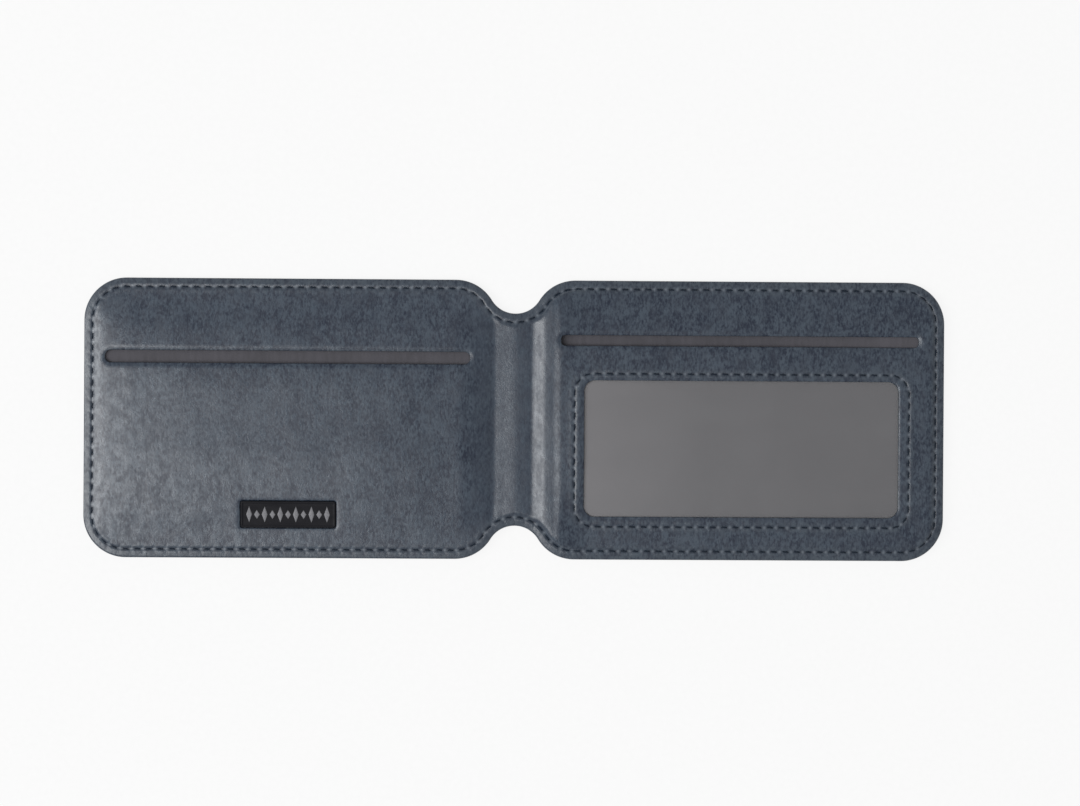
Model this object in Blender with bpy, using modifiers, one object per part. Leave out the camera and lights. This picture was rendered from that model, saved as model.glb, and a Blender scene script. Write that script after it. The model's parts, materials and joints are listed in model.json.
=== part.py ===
"""Bifold card wallet with a narrow spine, lying open and flat with its inner side up.

The origin is at the middle of the underside, +X runs along the open length and +Z is up.
Lengths below are in millimetres and become metres when the meshes are made.
Each leaf turns on its own crease: both creases run along Y, beside the spine.
"""

import math

import bmesh
import bpy
import numpy as np

MM = 0.001

# Outline of the open wallet
OPEN_LENGTH = 207.0
OPEN_WIDTH = 67.2
OUTER_CORNER = 10.2
INNER_CORNER = 10.2
INNER_CORNER_X = 14.4
NOTCH_RADIUS = 6.7
HALF_LENGTH = OPEN_LENGTH / 2
HALF_WIDTH = OPEN_WIDTH / 2
INNER_CORNER_Y = HALF_WIDTH - INNER_CORNER
CENTRES_APART = INNER_CORNER + NOTCH_RADIUS
NOTCH_Y = INNER_CORNER_Y + math.sqrt(CENTRES_APART**2 - INNER_CORNER_X**2)

# Creases: the hinge lines between the spine and the leaves
CREASE_X = 5.1
CREASE_Z = 1.275
CREASE_GAP = 0.15

# Layers, as heights above the table
COVER_TOP = 1.2
PANEL_UNDERSIDE = 1.35
RIM_TOP = 2.45
PANEL_CEILING = 3.45
PANEL_TOP = 4.4
BOARD = (1.35, 1.85)
BACK_LINING = (1.95, 2.15)
FRONT_LINING = (2.95, 3.15)
FILM = (3.2, 3.35)
FILLER = (1.4, 1.85)
SPINE_CEILING = 1.95
SPINE_TOP = 2.85

# Insets of the formed inner panel from the outline
RIM_WIDTH = 2.6
PLATEAU_INSET = 4.4
CAVITY_INSET = 3.0
CEILING_INSET = 4.9
EDGE_BEVEL = 0.3

# Card slots, one in each leaf
SLOT_X = 55.0
SLOT_LENGTH = 88.0
LEFT_SLOT_Y = 14.8
LEFT_SLOT_WIDTH = 3.4
RIGHT_SLOT_Y = 18.7
RIGHT_SLOT_WIDTH = 2.9

# Identity window in the right leaf
WINDOW_X = 54.7
WINDOW_Y = -7.4
WINDOW_LENGTH = 76.2
WINDOW_WIDTH = 32.8
WINDOW_CORNER = 2.6
WINDOW_STITCH = 2.0
FILM_MARGIN = 3.1
LINING_MARGIN = 1.0

# Label plate on the left leaf
LABEL_X = -54.5
LABEL_Y = -23.0
LABEL_LENGTH = 23.1
LABEL_WIDTH = 6.6
LABEL_CORNER = 0.6
LABEL_LAYER = (4.1, 4.75)
LABEL_RECESS_FLOOR = 3.95
LABEL_CLEARANCE = 0.4

# Stitching
STITCH_INSET = 2.1
THREAD_RADIUS = 0.25
BOBBIN_RADIUS = 0.22
GROOVE_RADIUS = 0.42
BOBBIN_GROOVE_RADIUS = 0.5

# Facets of the round stretches
SCALLOP_STEPS = 12
CORNER_STEPS = 8
SMALL_CORNER_STEPS = 4
NOTCH_STEPS = 8
DENSE_STEPS = 90


def clear_scene():
    for thing in list(bpy.data.objects):
        bpy.data.objects.remove(thing, do_unlink=True)


def make_collection(name):
    group = bpy.data.collections.new(name)
    bpy.context.scene.collection.children.link(group)
    return group


def make_material(name, colour, roughness, metallic=0.0, alpha=1.0):
    material = bpy.data.materials.new(name)
    material.use_nodes = True
    shader = material.node_tree.nodes["Principled BSDF"]
    shader.inputs["Base Color"].default_value = (*colour, 1.0)
    shader.inputs["Roughness"].default_value = roughness
    shader.inputs["Metallic"].default_value = metallic
    shader.inputs["Alpha"].default_value = alpha
    return material


# Outlines: lists of (x, y) points, always for the right-hand leaf and mirrored by side = -1

def arc(centre, radius, start, end, steps):
    """Points along a circular arc between two angles in degrees, both ends included."""
    angles = [math.radians(start + (end - start) * i / steps) for i in range(steps + 1)]
    return [(centre[0] + radius * math.cos(a), centre[1] + radius * math.sin(a)) for a in angles]


def scallop_stretch(inset, crease_x):
    """The S-shaped edge beside the notch, from the crease to the straight long edge."""
    meeting = math.degrees(math.atan2(NOTCH_Y - INNER_CORNER_Y, -INNER_CORNER_X))
    hollow = arc((0.0, NOTCH_Y), NOTCH_RADIUS + inset, -90.0, meeting - 180.0, DENSE_STEPS)
    rounded = arc((INNER_CORNER_X, INNER_CORNER_Y), INNER_CORNER - inset, meeting, 90.0, DENSE_STEPS)
    path = np.array(hollow + rounded[1:])
    along = np.concatenate([[0.0], np.cumsum(np.hypot(*np.diff(path, axis=0).T))])
    start = np.interp(crease_x, path[:, 0], along)
    stations = np.linspace(start, along[-1], SCALLOP_STEPS + 1)
    return [(np.interp(s, along, path[:, 0]), np.interp(s, along, path[:, 1])) for s in stations]


def leaf_edge(inset, crease_x):
    """A leaf's edge without its crease, from the crease's top end round to its bottom end."""
    corner = (HALF_LENGTH - OUTER_CORNER, HALF_WIDTH - OUTER_CORNER)
    upper = scallop_stretch(inset, crease_x) + arc(corner, OUTER_CORNER - inset, 90.0, 0.0, CORNER_STEPS)
    return upper + [(x, -y) for x, y in reversed(upper)]


def notch_edge(inset, half_width):
    """The spine's curved end, left to right."""
    radius = NOTCH_RADIUS + inset
    reach = math.degrees(math.asin(half_width / radius))
    return arc((0.0, NOTCH_Y), radius, -90.0 - reach, -90.0 + reach, NOTCH_STEPS)


def spine_ring(inset, half_width):
    upper = notch_edge(inset, half_width)
    return upper + [(x, -y) for x, y in reversed(upper)]


def rounded_box(centre, length, width, corner, steps=SMALL_CORNER_STEPS):
    points = []
    for turn, (sx, sy) in enumerate(((1, 1), (-1, 1), (-1, -1), (1, -1))):
        middle = (centre[0] + sx * (length / 2 - corner), centre[1] + sy * (width / 2 - corner))
        points += arc(middle, corner, 90.0 * turn, 90.0 * turn + 90.0, steps)
    return points


def stadium(centre, length, width):
    """A long slot's outline; its ends are half circles."""
    reach = (length - width) / 2
    right = arc((centre[0] + reach, centre[1]), width / 2, -90.0, 90.0, 2 * SMALL_CORNER_STEPS)
    left = arc((centre[0] - reach, centre[1]), width / 2, 90.0, 270.0, 2 * SMALL_CORNER_STEPS)
    return right + left


def mirrored(points, side):
    return [(side * x, y) for x, y in points]


# Solids

def add_object(name, data, group, material):
    thing = bpy.data.objects.new(name, data)
    group.objects.link(thing)
    if material:
        data.materials.append(material)
    return thing


def loft(name, sections, group, material):
    """A closed solid through rings of equal point count, each a flat outline at its own height."""
    shape = bmesh.new()
    rings = []
    for outline, height in sections:
        rings.append([shape.verts.new((x * MM, y * MM, height * MM)) for x, y in outline])
    count = len(rings[0])
    for lower, upper in zip(rings, rings[1:]):
        for i in range(count):
            k = (i + 1) % count
            shape.faces.new((lower[i], lower[k], upper[k], upper[i]))
    shape.faces.new(rings[0])
    shape.faces.new(rings[-1])
    bmesh.ops.recalc_face_normals(shape, faces=shape.faces)
    data = bpy.data.meshes.new(name)
    shape.to_mesh(data)
    shape.free()
    return add_object(name, data, group, material)


def curve_data(name, points, closed, dimensions):
    data = bpy.data.curves.new(name, "CURVE")
    data.dimensions = dimensions
    spline = data.splines.new("POLY")
    spline.points.add(len(points) - 1)
    for knot, point in zip(spline.points, points):
        height = point[2] if len(point) == 3 else 0.0
        knot.co = (point[0] * MM, point[1] * MM, height * MM, 1.0)
    spline.use_cyclic_u = closed
    return data


def as_mesh(thing):
    """Turns a curve object into a welded mesh object of the same name and place."""
    bpy.context.view_layer.update()
    evaluated = thing.evaluated_get(bpy.context.evaluated_depsgraph_get())
    data = bpy.data.meshes.new_from_object(evaluated)
    shape = bmesh.new()
    shape.from_mesh(data)
    bmesh.ops.remove_doubles(shape, verts=shape.verts, dist=0.001 * MM)
    bmesh.ops.recalc_face_normals(shape, faces=shape.faces)
    shape.to_mesh(data)
    shape.free()
    name, group, matrix = thing.name, thing.users_collection[0], thing.matrix_world.copy()
    bpy.data.objects.remove(thing, do_unlink=True)
    solid = bpy.data.objects.new(name, data)
    solid.matrix_world = matrix
    group.objects.link(solid)
    return solid


def sheet(name, outline, layer, group, material=None):
    """A flat piece between two heights, from a filled 2D curve."""
    low, high = layer
    data = curve_data(name, outline, True, "2D")
    data.fill_mode = "BOTH"
    data.extrude = (high - low) / 2 * MM
    thing = add_object(name, data, group, material)
    thing.location.z = (low + high) / 2 * MM
    return as_mesh(thing)


def tube(name, path, height, radius, group, material=None, closed=False):
    """A round thread along a flat path; its centre line runs at the given height."""
    data = curve_data(name, [(x, y, height) for x, y in path], closed, "3D")
    data.bevel_depth = radius * MM
    data.bevel_resolution = 2
    data.use_fill_caps = True
    return add_object(name, data, group, material)


def cut(solid, cutter):
    cutter.hide_render = True
    cutter.display_type = "WIRE"
    change = solid.modifiers.new("Cut " + cutter.name, "BOOLEAN")
    change.operation = "DIFFERENCE"
    change.solver = "EXACT"
    change.object = cutter


def soften(solid, width=EDGE_BEVEL):
    """A single chamfer on the long edges of a leather or plastic sheet."""
    change = solid.modifiers.new("Softened edge", "BEVEL")
    change.width = width * MM
    change.segments = 1
    change.limit_method = "ANGLE"
    change.angle_limit = math.radians(50.0)


def crease_reach(height):
    """How far a piece at this height keeps from its crease, so that a fold of 90 degrees clears it."""
    return max(height - CREASE_Z, 0.0) + CREASE_GAP


def leaf_ring(inset, crease_x, side):
    return mirrored(leaf_edge(inset, crease_x), side)


# Pieces of one leaf

def outer_cover(label, side, group, cutters, leather):
    crease = CREASE_X + CREASE_GAP
    cover = sheet(label + "_outer_cover", leaf_ring(0.0, crease, side), (0.0, COVER_TOP), group, leather)
    soften(cover)
    path = mirrored(leaf_edge(STITCH_INSET, CREASE_X - 1.0), side)
    groove = tube(label + "_cover_groove", path, 0.1, BOBBIN_GROOVE_RADIUS, cutters)
    cut(cover, as_mesh(groove))


def inner_panel(label, side, openings, group, cutters, leather):
    """The formed leather face: a flat rim, a slope and a raised middle, hollow underneath."""
    foot = CREASE_X + crease_reach(PANEL_UNDERSIDE)
    rim = CREASE_X + crease_reach(RIM_TOP)
    sections = [
        (leaf_ring(PLATEAU_INSET, 12.5, side), PANEL_TOP),
        (leaf_ring(RIM_WIDTH, rim + 0.4, side), RIM_TOP),
        (leaf_ring(EDGE_BEVEL, rim, side), RIM_TOP),
        (leaf_ring(0.0, rim - EDGE_BEVEL, side), RIM_TOP - EDGE_BEVEL),
        (leaf_ring(0.0, foot, side), PANEL_UNDERSIDE),
        (leaf_ring(CAVITY_INSET, foot + 1.6, side), PANEL_UNDERSIDE),
        (leaf_ring(CEILING_INSET, 13.0, side), PANEL_CEILING),
    ]
    panel = loft(label + "_inner_panel", sections, group, leather)
    path = mirrored(leaf_edge(STITCH_INSET, CREASE_X - 1.0), side)
    groove = tube(label + "_panel_groove", path, RIM_TOP - 0.1, GROOVE_RADIUS, cutters)
    cut(panel, as_mesh(groove))
    for name, outline in openings.items():
        through = (PANEL_UNDERSIDE - 1.0, PANEL_TOP + 1.0)
        cut(panel, sheet(name, outline, through, cutters))
    return panel


def lower_lining_outline(top_y, side):
    """The front lining's outline: the leaf below its slot."""
    edge = leaf_edge(5.2, 13.6)
    lower = edge[len(edge) // 2:]
    return mirrored([(lower[0][0], top_y)] + lower + [(lower[-1][0], top_y)], side)


def leaf_layers(label, side, slot_y, slot_width, group, cutters, materials):
    """The stiffener board and the two walls of the card pocket."""
    sheet(label + "_stiffener_board", leaf_ring(4.0, 9.2, side), BOARD, group, materials["board"])
    back = leaf_ring(4.3, 10.2, side)
    sheet(label + "_pocket_back_lining", back, BACK_LINING, group, materials["lining"])
    front = lower_lining_outline(slot_y - slot_width / 2 - 0.4, side)
    lining = sheet(label + "_pocket_front_lining", front, FRONT_LINING, group, materials["lining"])
    if side > 0:
        cut(lining, sheet("lining_window_cutter", window_outline(LINING_MARGIN),
                          (FRONT_LINING[0] - 1.0, FRONT_LINING[1] + 1.0), cutters))


def leaf_threads(label, side, group, thread):
    top_start = CREASE_X + crease_reach(RIM_TOP) + 0.3
    path = mirrored(leaf_edge(STITCH_INSET, top_start), side)
    tube(label + "_edge_thread", path, RIM_TOP - 0.13, THREAD_RADIUS, group, thread)
    path = mirrored(leaf_edge(STITCH_INSET, CREASE_X + 0.45), side)
    tube(label + "_edge_bobbin_thread", path, 0.26, BOBBIN_RADIUS, group, thread)


# The window and the label

def window_outline(margin):
    return rounded_box((WINDOW_X, WINDOW_Y), WINDOW_LENGTH + 2 * margin, WINDOW_WIDTH + 2 * margin,
                       WINDOW_CORNER + margin)


def id_window(panel, group, cutters, materials):
    sheet("id_window_film", window_outline(FILM_MARGIN), FILM, group, materials["film"])
    path = window_outline(WINDOW_STITCH)
    groove = tube("window_groove", path, PANEL_TOP - 0.1, GROOVE_RADIUS, cutters, closed=True)
    cut(panel, as_mesh(groove))
    tube("window_thread", path, PANEL_TOP - 0.13, THREAD_RADIUS, group, materials["thread"], closed=True)
    below = FRONT_LINING[0] - 0.1 - BOBBIN_RADIUS
    tube("window_bobbin_thread", path, below, BOBBIN_RADIUS, group, materials["thread"], closed=True)


def label_plate(panel, group, cutters, material):
    outline = rounded_box((LABEL_X, LABEL_Y), LABEL_LENGTH, LABEL_WIDTH, LABEL_CORNER)
    plate = sheet("label_plate", outline, LABEL_LAYER, group, material)
    soften(plate, 0.15)
    recess = rounded_box((LABEL_X, LABEL_Y), LABEL_LENGTH + LABEL_CLEARANCE, LABEL_WIDTH + LABEL_CLEARANCE,
                         LABEL_CORNER + LABEL_CLEARANCE / 2)
    cut(panel, sheet("label_recess", recess, (LABEL_RECESS_FLOOR, PANEL_TOP + 1.0), cutters))


# The spine

def spine(group, cutters, materials):
    cover_reach = CREASE_X - CREASE_GAP
    cover = sheet("spine_outer_cover", spine_ring(0.0, cover_reach), (0.0, COVER_TOP), group,
                  materials["cover"])
    soften(cover)

    foot = CREASE_X - crease_reach(PANEL_UNDERSIDE)
    rim = CREASE_X - crease_reach(RIM_TOP)
    sections = [
        (spine_ring(3.8, 2.6), SPINE_TOP),
        (spine_ring(RIM_WIDTH, 3.5), RIM_TOP),
        (spine_ring(EDGE_BEVEL, rim), RIM_TOP),
        (spine_ring(0.0, rim + EDGE_BEVEL), RIM_TOP - EDGE_BEVEL),
        (spine_ring(0.0, foot), PANEL_UNDERSIDE),
        (spine_ring(CAVITY_INSET, 4.3), PANEL_UNDERSIDE),
        (spine_ring(3.6, 3.9), SPINE_CEILING),
    ]
    panel = loft("spine_inner_panel", sections, group, materials["panel"])
    sheet("spine_filler_strip", spine_ring(4.1, 3.5), FILLER, group, materials["filler"])

    past = cover_reach + 1.0
    for label, sign in (("top", 1), ("bottom", -1)):
        wide = [(x, sign * y) for x, y in notch_edge(STITCH_INSET, past)]
        cut(cover, as_mesh(tube("spine_cover_groove_" + label, wide, 0.1, BOBBIN_GROOVE_RADIUS, cutters)))
        cut(panel, as_mesh(tube("spine_panel_groove_" + label, wide, RIM_TOP - 0.1, GROOVE_RADIUS, cutters)))
        short = [(x, sign * y) for x, y in notch_edge(STITCH_INSET, rim - 0.2)]
        tube("spine_" + label + "_thread", short, RIM_TOP - 0.13, THREAD_RADIUS, group, materials["thread"])
        long = [(x, sign * y) for x, y in notch_edge(STITCH_INSET, cover_reach - 0.3)]
        tube("spine_" + label + "_bobbin_thread", long, 0.26, BOBBIN_RADIUS, group, materials["thread"])


def main():
    clear_scene()
    wallet = make_collection("bifold_wallet")
    cutters = make_collection("cutters")
    materials = {
        "cover": make_material("outer_leather", (0.060, 0.078, 0.102), 0.48),
        "panel": make_material("inner_leather", (0.078, 0.100, 0.130), 0.45),
        "board": make_material("board", (0.42, 0.36, 0.28), 0.9),
        "lining": make_material("lining", (0.110, 0.105, 0.108), 0.85),
        "film": make_material("film", (0.80, 0.82, 0.84), 0.12, alpha=0.35),
        "thread": make_material("thread", (0.075, 0.105, 0.150), 0.6),
        "label": make_material("label", (0.012, 0.012, 0.014), 0.35),
        "filler": make_material("filler", (0.30, 0.30, 0.30), 0.9),
    }

    left_slot = stadium((-SLOT_X, LEFT_SLOT_Y), SLOT_LENGTH, LEFT_SLOT_WIDTH)
    right_slot = stadium((SLOT_X, RIGHT_SLOT_Y), SLOT_LENGTH, RIGHT_SLOT_WIDTH)
    leaves = (
        ("left", -1, LEFT_SLOT_Y, LEFT_SLOT_WIDTH, {"left_slot_cutter": left_slot}),
        ("right", 1, RIGHT_SLOT_Y, RIGHT_SLOT_WIDTH,
         {"right_slot_cutter": right_slot, "window_cutter": window_outline(0.0)}),
    )
    for label, side, slot_y, slot_width, openings in leaves:
        outer_cover(label, side, wallet, cutters, materials["cover"])
        panel = inner_panel(label, side, openings, wallet, cutters, materials["panel"])
        leaf_layers(label, side, slot_y, slot_width, wallet, cutters, materials)
        leaf_threads(label, side, wallet, materials["thread"])
        if side > 0:
            id_window(panel, wallet, cutters, materials)
        else:
            label_plate(panel, wallet, cutters, materials["label"])
    spine(wallet, cutters, materials)


main()
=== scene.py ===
"""Looks of the open bifold wallet: formed leather halves, stitching, window, linings and label.

Plan sizes below are in millimetres in the frame's own axes, and become metres when a mesh is made.
Each half of the leather runs from the middle of the spine to its leaf's end and bends at its crease.
"""

import json
import math

import bmesh
import bpy
import numpy as np
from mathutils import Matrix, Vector
from mathutils.geometry import delaunay_2d_cdt

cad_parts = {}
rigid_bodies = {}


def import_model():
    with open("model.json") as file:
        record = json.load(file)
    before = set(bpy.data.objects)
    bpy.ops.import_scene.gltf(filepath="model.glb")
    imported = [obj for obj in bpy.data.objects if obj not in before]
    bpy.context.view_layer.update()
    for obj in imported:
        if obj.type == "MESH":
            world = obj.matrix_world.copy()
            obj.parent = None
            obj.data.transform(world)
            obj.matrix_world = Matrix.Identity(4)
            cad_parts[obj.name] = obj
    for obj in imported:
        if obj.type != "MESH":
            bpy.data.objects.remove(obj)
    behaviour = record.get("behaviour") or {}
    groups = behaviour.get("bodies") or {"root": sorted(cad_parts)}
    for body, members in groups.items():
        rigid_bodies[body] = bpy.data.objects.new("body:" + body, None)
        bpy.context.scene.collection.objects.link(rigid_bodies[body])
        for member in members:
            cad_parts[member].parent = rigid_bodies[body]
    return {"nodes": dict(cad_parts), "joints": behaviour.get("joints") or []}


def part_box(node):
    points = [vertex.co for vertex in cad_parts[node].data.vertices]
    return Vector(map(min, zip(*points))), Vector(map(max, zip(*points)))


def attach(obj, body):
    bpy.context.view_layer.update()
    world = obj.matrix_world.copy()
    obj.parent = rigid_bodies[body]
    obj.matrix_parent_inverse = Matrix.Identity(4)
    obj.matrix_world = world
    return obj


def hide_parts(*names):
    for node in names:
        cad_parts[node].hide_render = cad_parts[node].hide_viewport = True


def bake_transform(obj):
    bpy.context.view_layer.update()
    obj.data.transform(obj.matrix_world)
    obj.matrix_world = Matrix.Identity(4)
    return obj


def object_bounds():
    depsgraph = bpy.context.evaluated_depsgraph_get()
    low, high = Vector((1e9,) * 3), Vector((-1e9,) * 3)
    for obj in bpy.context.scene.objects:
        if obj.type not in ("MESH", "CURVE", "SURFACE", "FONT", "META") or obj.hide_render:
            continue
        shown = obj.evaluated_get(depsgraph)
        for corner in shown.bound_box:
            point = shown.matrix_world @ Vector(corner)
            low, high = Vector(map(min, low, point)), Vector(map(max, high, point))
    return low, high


for leftover in list(bpy.data.objects):
    bpy.data.objects.remove(leftover, do_unlink=True)
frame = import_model()

MM = 0.001
CAD_BOX = [list(corner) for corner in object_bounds()]


def node_box(name):
    """A CAD node's lowest and highest corners in millimetres."""
    low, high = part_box(name)
    return np.array(low) / MM, np.array(high) / MM


# ---------------------------------------------------------------- sizes

# Outline of the open wallet
HALF_LENGTH = CAD_BOX[1][0] / MM
HALF_WIDTH = CAD_BOX[1][1] / MM
OUTER_CORNER = 10.2
INNER_CORNER = 10.2
INNER_CORNER_X = 14.4
NOTCH_RADIUS = 6.7
INNER_CORNER_Y = HALF_WIDTH - INNER_CORNER
NOTCH_Y = INNER_CORNER_Y + math.sqrt((INNER_CORNER + NOTCH_RADIUS) ** 2 - INNER_CORNER_X**2)
NOTCH_TURN = math.atan2(INNER_CORNER_X, NOTCH_Y - INNER_CORNER_Y)

# The creases' distance from the middle
CREASE_X = next(joint["pos_m"][0] for joint in frame["joints"] if joint["name"] == "right_crease_fold") / MM

# Heights above the table, thicknesses of the leather where it is sewn down and elsewhere, and edge radii
COVER_TOP = node_box("left_outer_cover")[1][2]
PANEL_TOP = node_box("left_inner_panel")[1][2]
SPINE_TOP = node_box("spine_inner_panel")[1][2]
RIM_TOP = 2.45
HEM_SKIN = 1.08
SKIN = 0.65
RIM_ROUND = 0.42
LIP_ROUND = 0.14

# Stitching: dents and swells in the leather, then the thread
STITCH_INSET = 2.1
STITCH_PITCH = 2.77
STITCH_DEPTH = 0.08
STITCH_SWELL = 0.055
COVER_STITCH_DEPTH = 0.24
COVER_STITCH_SWELL = 0.03
THREAD_PLY = 0.15
THREAD_SLANT = 0.16
THREAD_SINK = 0.13
BOBBIN_LEVEL = 0.31

# Openings, window seam and label plate, each as centre x and y, length, width and corner radius
SLOTS = {-1: (-54.6, 14.72, 87.6, 3.04, 1.5), 1: (54.1, 19.16, 86.2, 2.58, 1.0)}
WINDOW = (54.5, -6.8, 75.8, 32.8, 2.6)
WINDOW_SEAM = (54.6, -7.2, 80.6, 36.8, 4.6)
LABEL = (-54.3, -23.05, 22.85, 6.45, 0.6)
LOZENGES = 11
LOZENGE_ROW = LABEL[2] - 4.2
LOZENGE_HALF_WIDTH = 0.72
LOZENGE_HALF_HEIGHTS = (2.0, 1.1)

# Film and linings under the leather
FILM_THICK = 0.12
FRONT_THICK = 0.12
BACK_THICK = 0.13
FILM_GAP = 0.03
LAYER_GAP = 0.03
FILM_TOP = 3.60
FRONT_TOP = 3.42
BACK_TOP = 2.34
HOLE_MARGIN = 0.4

# Spacings of mesh points, and the insets or offsets of the rings of points round edges and openings
EDGE_SPACING = 0.3
WINDOW_SPACING = 0.25
SHEET_EDGE_SPACING = 0.8
RINGED_WIDTH = 5.5
FINE_INSETS = (0.05, 0.14, 0.28, 0.45, 0.75, 1.1, 1.4, 1.62, 1.78, 1.94, 2.1, 2.26, 2.42, 2.58, 2.8, 3.1,
               3.45, 3.8, 4.2, 4.7, 5.3)
COARSE_INSETS = (0.05, 0.14, 0.28, 0.6, 1.3, 2.6, 4.0, 5.3)
SLOT_RINGS = (0.06, 0.12, 0.22, 0.45, 0.7, 0.95, 1.5)
WINDOW_RINGS = (0.06, 0.12, 0.24, 0.45, 0.7, 1.0, 1.5)
WINDOW_SEAM_RINGS = (-0.75, -0.5, -0.36, -0.24, -0.12, 0, 0.12, 0.24, 0.36, 0.5, 0.75, 1.1, 1.5)
LABEL_RECESS_RINGS = (-0.4, -0.15, 0.05, 0.15, 0.25, 0.35, 0.45, 0.55, 0.8, 1.2)
LABEL_PLATE_RINGS = (0.1, 0.22, 0.4, 0.55, 0.65, 0.8, 1.2)


# ---------------------------------------------------------------- small maths

def smooth(start, end, value):
    """A rise from 0 to 1 with soft ends."""
    t = np.clip((value - start) / (end - start), 0.0, 1.0)
    return t * t * (3.0 - 2.0 * t)


def ramp(start, end, value, soft):
    """A straight rise from 0 to 1 whose two ends are rounded over about soft."""
    return (np.hypot(value - start, soft) - np.hypot(value - end, soft)) / (2 * (end - start)) + 0.5


def bump(value, centre, width):
    """A soft hump of height 1."""
    return np.exp(-(((value - centre) / width) ** 2))


def settle(start, value, reach):
    """A rise from 0 to 1 that is steepest at its start and levels out over about reach."""
    return 1.0 - np.exp(-np.maximum(value - start, 0.0) / reach)


def lesser(a, b):
    """The smaller of two shares, with a soft change from one to the other."""
    a, b = np.maximum(a, 1e-4), np.maximum(b, 1e-4)
    return a * b / (a**3 + b**3 - (a * b) ** 3) ** (1 / 3)


def waves(x, y, wavelength, seed, count=28):
    """Smooth random undulation of about unit height and the given wavelength."""
    source = np.random.default_rng(seed)
    total = np.zeros_like(x)
    for _ in range(count):
        turn, phase = source.uniform(0, 2 * math.pi, 2)
        rate = 2 * math.pi / (wavelength * source.uniform(0.7, 1.5))
        total += np.cos((x * math.cos(turn) + y * math.sin(turn)) * rate + phase)
    return total / math.sqrt(count / 2) / 2


def edge_round(distance, radius):
    """How far a rounded edge drops at this distance in from the cut."""
    inside = np.clip(radius - distance, 0.0, radius)
    return radius - np.sqrt(radius**2 - inside**2)


# ---------------------------------------------------------------- plan curves

def arc(centre, radius, start, end, spacing):
    """Points along an arc between two angles."""
    steps = max(2, math.ceil(abs(end - start) * radius / spacing))
    turns = np.linspace(start, end, steps + 1)
    return np.column_stack([centre[0] + radius * np.cos(turns), centre[1] + radius * np.sin(turns)])


def line(start, end, spacing):
    """Points along a straight line."""
    start, end = np.array(start, float), np.array(end, float)
    steps = max(1, math.ceil(np.linalg.norm(end - start) / spacing))
    return start + (end - start) * np.linspace(0, 1, steps + 1)[:, None]


def joined(*runs):
    """Runs of points end to end, each starting where the one before it stops."""
    return np.concatenate([runs[0]] + [run[1:] for run in runs[1:]])


def half_edge(inset, spacing):
    """The right half's edge at an inset, from the middle of the top notch round to the bottom notch."""
    corner = (HALF_LENGTH - OUTER_CORNER, HALF_WIDTH - OUTER_CORNER)
    quarter = joined(
        arc((0, NOTCH_Y), NOTCH_RADIUS + inset, -math.pi / 2, NOTCH_TURN - math.pi / 2, spacing),
        arc((INNER_CORNER_X, INNER_CORNER_Y), INNER_CORNER - inset, NOTCH_TURN + math.pi / 2, math.pi / 2,
            spacing),
        line((INNER_CORNER_X, HALF_WIDTH - inset), (corner[0], HALF_WIDTH - inset), spacing),
        arc(corner, OUTER_CORNER - inset, math.pi / 2, 0, spacing),
        line((HALF_LENGTH - inset, corner[1]), (HALF_LENGTH - inset, 0), spacing),
    )
    return joined(quarter, (quarter * (1, -1))[::-1])


def box_edge(box, offset, spacing):
    """A rounded rectangle's outline at an offset, clockwise from the middle of its top side."""
    x, y, length, width, corner = box
    reach_x, reach_y, radius = length / 2 - corner, width / 2 - corner, corner + offset
    quarter = joined(
        line((0, reach_y + radius), (reach_x, reach_y + radius), spacing),
        arc((reach_x, reach_y), radius, math.pi / 2, 0, spacing),
        line((reach_x + radius, reach_y), (reach_x + radius, 0), spacing),
    )
    right = joined(quarter, (quarter * (1, -1))[::-1])
    whole = joined(right, (right * (-1, 1))[::-1])[:-1]
    return whole + (x, y)


def right_hand(box):
    """A box of the left leaf laid over onto the right, or a right one as it is."""
    return (abs(box[0]), *box[1:])


def edge_coordinates(x, y):
    """Inset from the outline, and length along the stitch line from the middle of the nearer notch."""
    x, y = np.abs(x), np.abs(y)
    to_notch = np.hypot(x, y - NOTCH_Y)
    notch_angle = np.arctan2(x, NOTCH_Y - y)
    to_inner = np.hypot(x - INNER_CORNER_X, y - INNER_CORNER_Y)
    inner_angle = np.arctan2(INNER_CORNER_X - x, y - INNER_CORNER_Y)
    corner_x, corner_y = HALF_LENGTH - OUTER_CORNER, HALF_WIDTH - OUTER_CORNER
    to_outer = np.hypot(x - corner_x, y - corner_y)
    outer_angle = np.arctan2(x - corner_x, y - corner_y)

    # Radii of the stitch line in the notch and the two corners, and the lengths at which its stretches start
    notch_radius, inner_radius = NOTCH_RADIUS + STITCH_INSET, INNER_CORNER - STITCH_INSET
    outer_radius = OUTER_CORNER - STITCH_INSET
    inner_start = notch_radius * NOTCH_TURN
    side_start = inner_start + inner_radius * NOTCH_TURN
    outer_start = side_start + (corner_x - INNER_CORNER_X)
    end_start = outer_start + outer_radius * math.pi / 2
    far = np.full_like(x, 1e3)
    choices = [
        (np.where((notch_angle <= NOTCH_TURN) & (y < NOTCH_Y), to_notch - NOTCH_RADIUS, far),
         notch_radius * notch_angle),
        (np.where((inner_angle >= 0) & (inner_angle <= NOTCH_TURN) & (y > INNER_CORNER_Y),
                  INNER_CORNER - to_inner, far),
         inner_start + inner_radius * (NOTCH_TURN - inner_angle)),
        (np.where((x >= INNER_CORNER_X) & (x <= corner_x), HALF_WIDTH - y, far),
         side_start + x - INNER_CORNER_X),
        (np.where((x > corner_x) & (y > corner_y), OUTER_CORNER - to_outer, far),
         outer_start + outer_radius * outer_angle),
        (np.where(y <= corner_y, HALF_LENGTH - x, far),
         end_start + corner_y - y),
    ]
    inset = np.stack([choice[0] for choice in choices])
    along = np.stack([choice[1] for choice in choices])
    nearest = inset.argmin(axis=0)
    pick = np.arange(x.size)
    return inset[nearest, pick], along[nearest, pick]


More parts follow.
